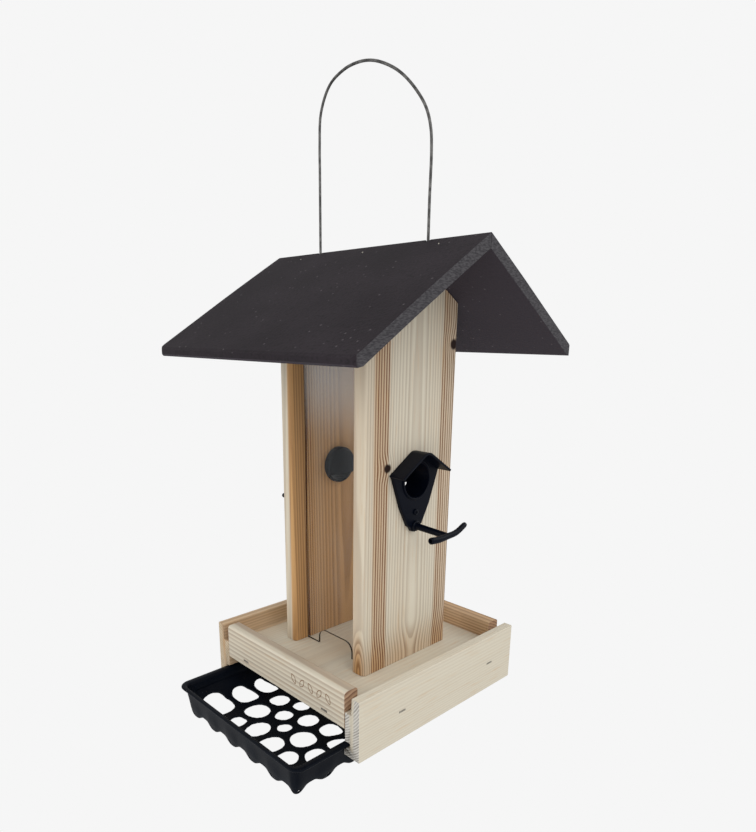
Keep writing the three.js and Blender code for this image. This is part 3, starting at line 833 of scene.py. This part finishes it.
def port_hood(shape):
    """A thin bent sheet: its section is a line with a rounded apex, thickened inwards."""
    points = [(0, -HOOD_HALF, HOOD_EAVE), (0, 0, HOOD_TOP), (0, HOOD_HALF, HOOD_EAVE)]
    verts = [shape.verts.new(p) for p in points]
    for pair in zip(verts, verts[1:]):
        shape.edges.new(pair)
    eased(shape, [verts[1]], HOOD_BEND, 10, "VERTICES")
    chain = [e for e in shape.edges if e.is_wire]
    sheet = bmesh.ops.extrude_edge_only(shape, edges=chain)["geom"]
    moved(shape, sheet, (PLATE_FACE - PLATE_BACK + HOOD_REACH, 0, 0))
    faces = [f for f in sheet if is_face(f)]
    moved(shape, shape.verts, (PLATE_BACK, 0, PORT_CENTRE))
    bmesh.ops.recalc_face_normals(shape, faces=faces)
    if max(f.normal.z for f in faces) < 0.5:
        bmesh.ops.reverse_faces(shape, faces=faces)
    bmesh.ops.solidify(shape, geom=faces, thickness=2.0 * MM)


def perch_socket(shape):
    front = PLATE_FACE + 2.5 * MM
    path = [Vector((x, 0, PERCH_HEIGHT)) for x in (PLATE_BACK + 1 * MM, front - 0.6 * MM, front)]
    drawn(shape, path, [SOCKET_RADIUS, SOCKET_RADIUS, SOCKET_RADIUS - 0.6 * MM], 32)


def port_moulding():
    """The whole port: its parts are made one by one and put together."""
    whole = bmesh.new()
    for part in (port_plate, port_throat, port_hood, perch_socket):
        shape = bmesh.new()
        part(shape)
        facing_out(shape)
        if part is port_hood:
            eased(shape, corners(shape, every_edge, math.radians(60)), 0.5 * MM, 2)
        lump = bpy.data.meshes.new("part")
        shape.to_mesh(lump)
        shape.free()
        whole.from_mesh(lump)
        bpy.data.meshes.remove(lump)
    return whole


on_both_panels("port", port_moulding, "port_body")

# %% [markdown]
# ## Shroud behind the port
# Inside the hopper a cap covers the throat and keeps the seed from pouring out. It is
# spun as a thin cup with a rounded corner, its mouth is cut out below with four straight
# cuts, and only then does it get its wall thickness, so the cut edges are closed as well.

# %% Port shrouds
SHROUD_WALL = 1.6 * MM
SHROUD_CORNER = 2.2 * MM
MOUTH_HALF = 15 * MM
MOUTH_TOP = PORT_CENTRE - 8 * MM
MOUTH_END = baffle_high.x - 3.5 * MM


def in_the_mouth(face):
    middle = face.calc_center_median()
    return abs(middle.y) < MOUTH_HALF and middle.z < MOUTH_TOP and middle.x < MOUTH_END


def shroud():
    shape = bmesh.new()
    radius = (baffle_high.z - baffle_low.z) / 2 - SHROUD_WALL / 2
    back = baffle_low.x + SHROUD_WALL / 2
    turned_on_port(shape, [
        (back, 0.0), (back, radius - SHROUD_CORNER), (back + 0.7 * MM, radius - 0.7 * MM),
        (back + SHROUD_CORNER, radius), (baffle_high.x, radius),
    ], 64, closed=False)
    bmesh.ops.remove_doubles(shape, verts=shape.verts, dist=0.01 * MM)
    for point, normal in [((0, MOUTH_HALF, 0), (0, 1, 0)), ((0, -MOUTH_HALF, 0), (0, 1, 0)),
                          ((0, 0, MOUTH_TOP), (0, 0, 1)), ((MOUTH_END, 0, 0), (1, 0, 0))]:
        geom = shape.verts[:] + shape.edges[:] + shape.faces[:]
        bmesh.ops.bisect_plane(shape, geom=geom, plane_co=point, plane_no=normal)
    gone = [f for f in shape.faces if in_the_mouth(f)]
    bmesh.ops.delete(shape, geom=gone, context="FACES")
    facing_out(shape)
    bmesh.ops.solidify(shape, geom=shape.faces[:], thickness=SHROUD_WALL)
    facing_out(shape)
    return shape


on_both_panels("port_shroud", shroud, "port_baffle")

# %% [markdown]
# ## Perches and port screws
# A perch is a T: a rod that plugs into the port, and a bar across its end that sweeps up
# at both ends. The bar's ends are cut off square, and one of them is hollow where the mould's
# core was, which an inset and a push inwards make.

# %% Perches
perch_low, perch_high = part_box("perch_right")
ROD_TIP = 2.3 * MM
ROD_RADIUS = 2.9 * MM
ROD_END = 2.75 * MM
BAR_THICK = 2.85 * MM
BAR_TAPER = 0.5 * MM
BAR_X = perch_high.x - ROD_END
BAR_HEIGHT = PERCH_HEIGHT - 1.4 * MM
BAR_HALF = 22 * MM


def hollow_end(shape, face, wall, depth):
    """Sinks the middle of an end face."""
    bmesh.ops.inset_region(shape, faces=[face], thickness=wall, depth=0)
    bmesh.ops.inset_region(shape, faces=[face], thickness=0.2 * MM, depth=0)
    moved(shape, face.verts, -face.normal * depth)


def perch():
    shape = bmesh.new()
    rod = [
        Vector((perch_low.x, 0, PERCH_HEIGHT)),
        Vector((perch_low.x + 0.4 * MM, 0, PERCH_HEIGHT)),
        Vector((BAR_X, 0, BAR_HEIGHT)),
    ]
    drawn(shape, rod, [ROD_TIP, ROD_RADIUS, ROD_END], 24)
    bar = [
        Vector((BAR_X - 1 * MM, 2 * MM - BAR_HALF, BAR_HEIGHT - 0.2 * MM)),
        Vector((BAR_X, -BAR_HALF / 2, BAR_HEIGHT - 0.6 * MM)),
        Vector((BAR_X, 0, BAR_HEIGHT)),
        Vector((BAR_X, BAR_HALF / 2, BAR_HEIGHT + 1 * MM)),
        Vector((BAR_X - 1.5 * MM, BAR_HALF + 2.4 * MM, BAR_HEIGHT + 5.2 * MM)),
    ]
    path = smooth_path(bar, 8)
    count = len(path) - 1
    radii = [BAR_THICK - BAR_TAPER * i / count for i in range(count + 1)]
    radii[0] -= 0.25 * MM
    radii[-1] -= 0.4 * MM
    caps = drawn(shape, path, radii, 24)
    facing_out(shape)
    hollow_end(shape, caps[0], 0.9 * MM, 4 * MM)
    facing_out(shape)
    return shape


on_both_panels("perch_bar", perch, "perch")

# %% Port screws
screw_low, screw_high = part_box("port_screw_right")
SHANK_RADIUS = 1.3 * MM
RECESS_DEPTH = 0.8 * MM


def screw():
    """A pan head with a cross recess, on a plain shank."""
    shape = bmesh.new()
    middle = (screw_low.z + screw_high.z) / 2
    head = (screw_high.z - screw_low.z) / 2
    face = screw_high.x
    shank = [
        (screw_low.x, 0.3 * MM), (screw_low.x + 3 * MM, SHANK_RADIUS), (PLATE_FACE, SHANK_RADIUS),
    ]
    dome = [
        (face - 1.4 * MM, head), (face - 0.7 * MM, head), (face - 0.2 * MM, head * 0.85),
        (face, head * 0.55),
    ]
    for stations, sides in [(shank, 12), (dome, 16)]:
        path = [Vector((x, 0, middle)) for x, r in stations]
        caps = drawn(shape, path, [r for x, r in stations], sides)
    facing_out(shape)
    top = caps[-1]
    bmesh.ops.inset_region(shape, faces=[top], thickness=0.15 * MM, depth=0)
    centre = top.calc_center_median()
    for i, vertex in enumerate(top.verts):
        if i % 4 in (1, 2, 3):
            vertex.co = centre + (vertex.co - centre) * (0.45 if i % 4 == 2 else 0.8)
    bmesh.ops.inset_region(shape, faces=[top], thickness=0.05 * MM, depth=0)
    moved(shape, top.verts, (-RECESS_DEPTH, 0, 0))
    return shape


on_both_panels("port_fixing", screw, "port_screw")

# %% [markdown]
# ## The mesh drawer
# The drawer is one thin moulding. Its side is a single sheet that starts under the outer
# lip, turns over the rim, falls down the tapered wall and ends in a scalloped edge with a
# foot about every 31 mm. One closed line round the tray is pulled down through those
# levels, and then the sheet gets its thickness. The left wall leans inwards, and the net
# runs up it, so there the side's own faces are taken out.
#
# The bottom is a net of egg-shaped holes. Each hole reaches as far from its own middle as
# half a web before the line that parts it from each neighbour, and a soft minimum of
# those distances rounds it off. That gives webs of an even width, as in the real moulding.

# %% Drawer outline
drawer_low, drawer_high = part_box("mesh_drawer")
FRONT, BACK = drawer_low.y, drawer_high.y
RIM_HALF_X = drawer_high.x
RIM_TOP = drawer_high.z
NET_TOP = height(-7.5)
NET_LOW = height(-9.5)
FOOT_LOW = drawer_low.z
WALL_IN_X = 6.3 * MM
WALL_IN_Y = 3.15 * MM
RIM_CORNER = 9 * MM
FOOT_PITCH = 31 * MM
SLOPE_FOOT = -66 * MM
SLOPE_TOP = -79.8 * MM
SLOPE_RISE = 11.5 * MM


def round_the_tray(share, in_x, in_y, radius):
    """A point and its outward direction on a rounded rectangle round the drawer.
    share runs from 0 to 1, and starts in the middle of the front side."""
    half_x = RIM_HALF_X - in_x
    half_y = (BACK - FRONT) / 2 - in_y
    flat_x, flat_y = half_x - radius, half_y - radius
    arc = radius * math.pi / 2
    total = 4 * (flat_x + flat_y + arc)
    along = (share % 1) * total
    sides = [(flat_x, 0, -1), (arc, 0, 0), (2 * flat_y, 1, 0), (arc, 0, 0), (2 * flat_x, 0, 1),
             (arc, 0, 0), (2 * flat_y, -1, 0), (arc, 0, 0), (flat_x, 0, -1)]
    centres = [(1, -1), (1, 1), (-1, 1), (-1, -1)]
    middle = Vector((0, (FRONT + BACK) / 2))
    spent = 0.0
    for i, (long, nx, ny) in enumerate(sides):
        if along <= spent + long + 1e-9:
            part = along - spent
            break
        spent += long
    if i % 2:
        cx, cy = centres[i // 2]
        angle = -math.pi / 2 + (i // 2) * math.pi / 2 + part / radius
        out = Vector((math.cos(angle), math.sin(angle)))
        return middle + Vector((cx * flat_x, cy * flat_y)) + out * radius, out
    out = Vector((nx, ny))
    run = {0: (part, -half_y), 2: (half_x, -flat_y + part), 4: (flat_x - part, half_y),
           6: (-half_x, flat_y - part), 8: (-flat_x + part, -half_y)}[i]
    return middle + Vector(run), out


# A foot stands at the near corner, and the others are counted from it.
TRAY_ROUND = 4 * (RIM_HALF_X + (BACK - FRONT) / 2) - (8 - 2 * math.pi) * RIM_CORNER
FEET = round(TRAY_ROUND / FOOT_PITCH)
AROUND = FEET * 14
NEAR_CORNER = (RIM_HALF_X - RIM_CORNER + RIM_CORNER * math.pi / 4) / TRAY_ROUND
print("drawer:", round((BACK - FRONT) / MM), "mm long,", FEET, "feet")

# %% Drawer side and rim
SKIN = 1.8 * MM
NET_THICK = 2 * MM
OPEN_FROM = 6
GAP_LEVELS = (11, 12)
FOOT_BULGE = 0.7 * MM


def foot_turn(share):
    """How many feet along a place is from the nearest one, from -0.5 to 0.5."""
    return ((share - NEAR_CORNER) * FEET + 0.5) % 1 - 0.5


def foot_shape(share):
    """1 under a foot and 0 between two, with steep rounded shoulders."""
    wave = 0.5 + 0.5 * math.cos(2 * math.pi * foot_turn(share))
    return wave * wave * (3 - 2 * wave)


def drawer_side():
    shape = bmesh.new()
    drop = NET_LOW - FOOT_LOW
    levels = [
        # share of the way in from the rim to the wall, height, taper, how much foot, lean
        (0.2, RIM_TOP - 2.3 * MM, 0, 0, 0), (0.2, RIM_TOP - 1.2 * MM, 0, 0, 0),
        (0.3, RIM_TOP - 0.9 * MM, 0, 0, 0), (0.85, RIM_TOP - 0.9 * MM, 0, 0, 0),
        (1.05, RIM_TOP - 1.4 * MM, 0, 0, 0), (1.15, RIM_TOP - 2.6 * MM, 0, 0, 0),
        (1.15, height(2), 0.9 * MM, 0, 0), (1.15, height(-4), 1.5 * MM, 0.1, 0.55),
        (1.15, NET_TOP, 1.9 * MM, 0.2, 1), (1.15, NET_LOW + 0.6 * MM, 2.1 * MM, 0, 1),
        (1.15, NET_LOW + 0.3 * MM, 2.2 * MM, 0.15, 1), (1.15, NET_LOW, 2.4 * MM, 0.32, 1),
        (1.15, NET_LOW - 0.1 * MM, 2.6 * MM, 0.7, 1), (1.15, NET_LOW - 0.2 * MM, 3.2 * MM, 0.82, 1),
    ]
    loop = None
    shoulders = set()
    leaning = set()
    open_half = (BACK - FRONT) / 2 - 12 * MM
    for level, (inward, z, taper, foot, lean) in enumerate(levels):
        if loop is None:
            ring = bmesh.ops.create_circle(shape, segments=AROUND, radius=1)["verts"]
            loop = list(shape.edges)
        else:
            ring, loop = grown_ring(shape, ring, loop)
        radius = max(RIM_CORNER - inward * 3 * MM, 4 * MM)
        for i, vertex in enumerate(ring):
            share = i / AROUND
            spot, out = round_the_tray(share, WALL_IN_X * inward, WALL_IN_Y * inward, radius)
            here = foot_shape(share)
            spot = spot + out * ((FOOT_BULGE * here if lean else 0) - taper)
            spot.x += max(-out.x, 0) * (SLOPE_FOOT - SLOPE_TOP) * lean
            vertex.co = (spot.x, spot.y, z - foot * here * drop)
            turn = math.copysign(1, out.x - 0.5) * foot_turn(share)
            if level in GAP_LEVELS and -0.02 < turn < 0.2:
                shoulders.add(vertex)
            at_left = out.x < -0.999 and abs(spot.y - (FRONT + BACK) / 2) < open_half
            if level >= OPEN_FROM and at_left:
                leaning.add(vertex)
    slots = [
        f for f in shape.faces
        if shoulders.issuperset(f.verts) or leaning.issuperset(f.verts)
    ]
    bmesh.ops.delete(shape, geom=slots, context="FACES")
    facing_out(shape)
    print("drawer side:", len(shape.faces), "faces,", len(slots), "taken out")
    return shape


# %% Drawer net
NET_REPEAT = 70 * MM
NET_CELL = 1.6 * MM
WEB = 3.6 * MM
ROUNDING = 5
NEIGHBOUR = 45 * MM
NET_HOLES = [
    # across, distance behind the front rim, radius, in mm
    (-57.5, 25, 13.5), (-25, 24, 7.5), (-4, 30, 10.5), (22, 26, 11), (44, 25, 9),
    (-56, 52, 11.8), (-27, 45, 11.5), (-5.6, 58.5, 8), (10, 47, 6.5), (34, 48, 12), (58, 43, 10),
    (-56, 76, 11), (-28, 70.5, 9), (-7, 79, 7.5), (15.4, 69, 9.3), (39.6, 74, 10), (59.5, 65, 9.5),
]


def net_holes():
    holes = []
    start = 0.0
    while FRONT + start < BACK:
        for x, y, radius in NET_HOLES:
            middle = Vector((x * MM, FRONT + start + y * MM))
            if middle.y + radius * MM < BACK - 10 * MM:
                holes.append((middle, radius * MM))
        start += NET_REPEAT
    return holes


HOLES = net_holes()


def hole_reach(index, angle):
    """How far a hole reaches from its middle in one direction."""
    middle, radius = HOLES[index]
    way = Vector((math.cos(angle), math.sin(angle)))
    limits = [radius * 1.2]
    for other, (place, other_radius) in enumerate(HOLES):
        apart = place - middle
        if other != index and apart.length < NEIGHBOUR:
            share = radius / (radius + other_radius)
            facing = way.dot(apart.normalized())
            if facing > 0.05:
                limits.append((apart.length * share - WEB / 2) / facing)
    wall_x = RIM_HALF_X - WALL_IN_X - 4.5 * MM
    for gap, facing in [(wall_x - middle.x, way.x), (wall_x - 3 * MM + middle.x, -way.x),
                        (middle.y - FRONT - WALL_IN_Y - 5 * MM, -way.y)]:
        if facing > 0.05:
            limits.append(gap / facing)
    return sum(limit ** -ROUNDING for limit in limits) ** (-1 / ROUNDING)


def drawer_net():
    """A grid with its faces taken out inside the holes, and the edges drawn on to them."""
    shape = bmesh.new()
    half_x = RIM_HALF_X - WALL_IN_X - 3.2 * MM
    half_y = (BACK - FRONT) / 2 - WALL_IN_Y - 3.2 * MM
    columns, rows = round(2 * half_x / NET_CELL), round(2 * half_y / NET_CELL)
    bmesh.ops.create_grid(shape, x_segments=columns, y_segments=rows, size=1)
    bmesh.ops.scale(shape, verts=shape.verts, vec=(half_x, half_y, 1))
    moved(shape, shape.verts, (0, (FRONT + BACK) / 2, NET_TOP))
    owner = {}
    for vertex in shape.verts:
        spot = vertex.co.xy
        for index, (middle, radius) in enumerate(HOLES):
            away = spot - middle
            near = away.length < radius * 1.6
            if near and away.length < hole_reach(index, math.atan2(away.y, away.x)):
                owner[vertex] = index
    inside = [f for f in shape.faces if all(v in owner for v in f.verts)]
    bmesh.ops.delete(shape, geom=inside, context="FACES")
    for vertex in shape.verts:
        touched = [owner[v] for e in vertex.link_edges for v in e.verts if v in owner]
        if vertex.is_boundary and touched:
            middle = HOLES[touched[0]][0]
            away = vertex.co.xy - middle
            angle = math.atan2(away.y, away.x)
            reach = hole_reach(touched[0], angle)
            vertex.co.x = middle.x + math.cos(angle) * reach
            vertex.co.y = middle.y + math.sin(angle) * reach
    loose = [v for v in shape.verts if not v.is_boundary]
    bmesh.ops.smooth_vert(shape, verts=loose, factor=0.5, use_axis_x=True, use_axis_y=True)
    for vertex in shape.verts:
        beyond = (SLOPE_FOOT - vertex.co.x) / (SLOPE_FOOT + half_x)
        if beyond > 0:
            vertex.co.x = SLOPE_FOOT + (SLOPE_TOP - SLOPE_FOOT) * beyond
            vertex.co.z += SLOPE_RISE * beyond
    facing_out(shape)
    if shape.faces[:][0].normal.z < 0:
        bmesh.ops.reverse_faces(shape, faces=shape.faces[:])
    return shape


def thickened(name, shape, wall, offset, stands_for=()):
    """A moulded sheet of the drawer: given its thickness, to both sides at an offset of 0
    and inwards at -1, and then smoothed."""
    made = piece(name, shape, "drawer", drawer_finish, stands_for)
    made.modifiers.clear()
    solid = made.modifiers.new("wall", "SOLIDIFY")
    solid.thickness = wall
    solid.offset = offset
    soft = made.modifiers.new("soft", "SUBSURF")
    soft.levels = 1
    soft.render_levels = 1


thickened("drawer_side", drawer_side(), SKIN, 0, ["mesh_drawer"])
thickened("drawer_net", drawer_net(), NET_THICK, -1)

# %% [markdown]
# ## Motif and fasteners
# A row of seeds is burnt into the front board. Each is a thin ring with two pointed ends,
# a hair proud of the wood so that it has an edge of its own. The staples, screws and
# brads are plain metal and their fitted shapes are right, so they only get a finish.

# %% Seed motif
board_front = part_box("tray_front_board")[0].y
SEED_LINE = 0.55 * MM
SEED_THICK = 0.3 * MM
SEED_PROUD = 0.1 * MM
SEED_HEIGHT = height(40.5)
SEED_ROW = [18, 29, 40, 51, 62]


def seed_ring(shape, x, long, wide, turn):
    """A pointed oval outline, a little proud of the front board."""
    loop = bmesh.ops.create_circle(shape, segments=40, radius=1, cap_ends=True)["verts"]
    for vertex in loop:
        taper = 1 - 0.35 * abs(vertex.co.x) ** 2
        vertex.co = Vector((vertex.co.x * long, vertex.co.y * wide * taper, 0))
    face = loop[0].link_faces[0]
    bmesh.ops.inset_region(shape, faces=[face], thickness=SEED_LINE, depth=0, use_boundary=True)
    bmesh.ops.delete(shape, geom=[face], context="FACES_ONLY")
    band = list({f for v in loop for f in v.link_faces})
    grown = bmesh.ops.extrude_face_region(shape, geom=band)["geom"]
    moved(shape, grown, (0, 0, SEED_THICK))
    whole = list({v for f in band for v in f.verts} | {v for v in grown if is_vertex(v)})
    lean = Matrix.Rotation(turn, 4, "Z")
    upright = Matrix.Rotation(math.pi / 2, 4, "X")
    place = Matrix.Translation((x, board_front + SEED_THICK - SEED_PROUD, SEED_HEIGHT))
    bmesh.ops.transform(shape, verts=whole, matrix=place @ upright @ lean)


motif = bmesh.new()
for i, x in enumerate(SEED_ROW):
    turn = math.radians(58 if i % 2 else 122)
    seed_ring(motif, x * MM, 4.6 * MM, 2.5 * MM, turn)
facing_out(motif)
piece("seed_motif", motif, "housing", burnt_finish)

# %% Fasteners
fastened = 0
for name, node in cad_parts.items():
    if any(word in name for word in ("staple", "panel_screw", "brad")):
        for slot in node.material_slots:
            slot.material = steel_finish
        fastened += 1
print("fasteners:", fastened)
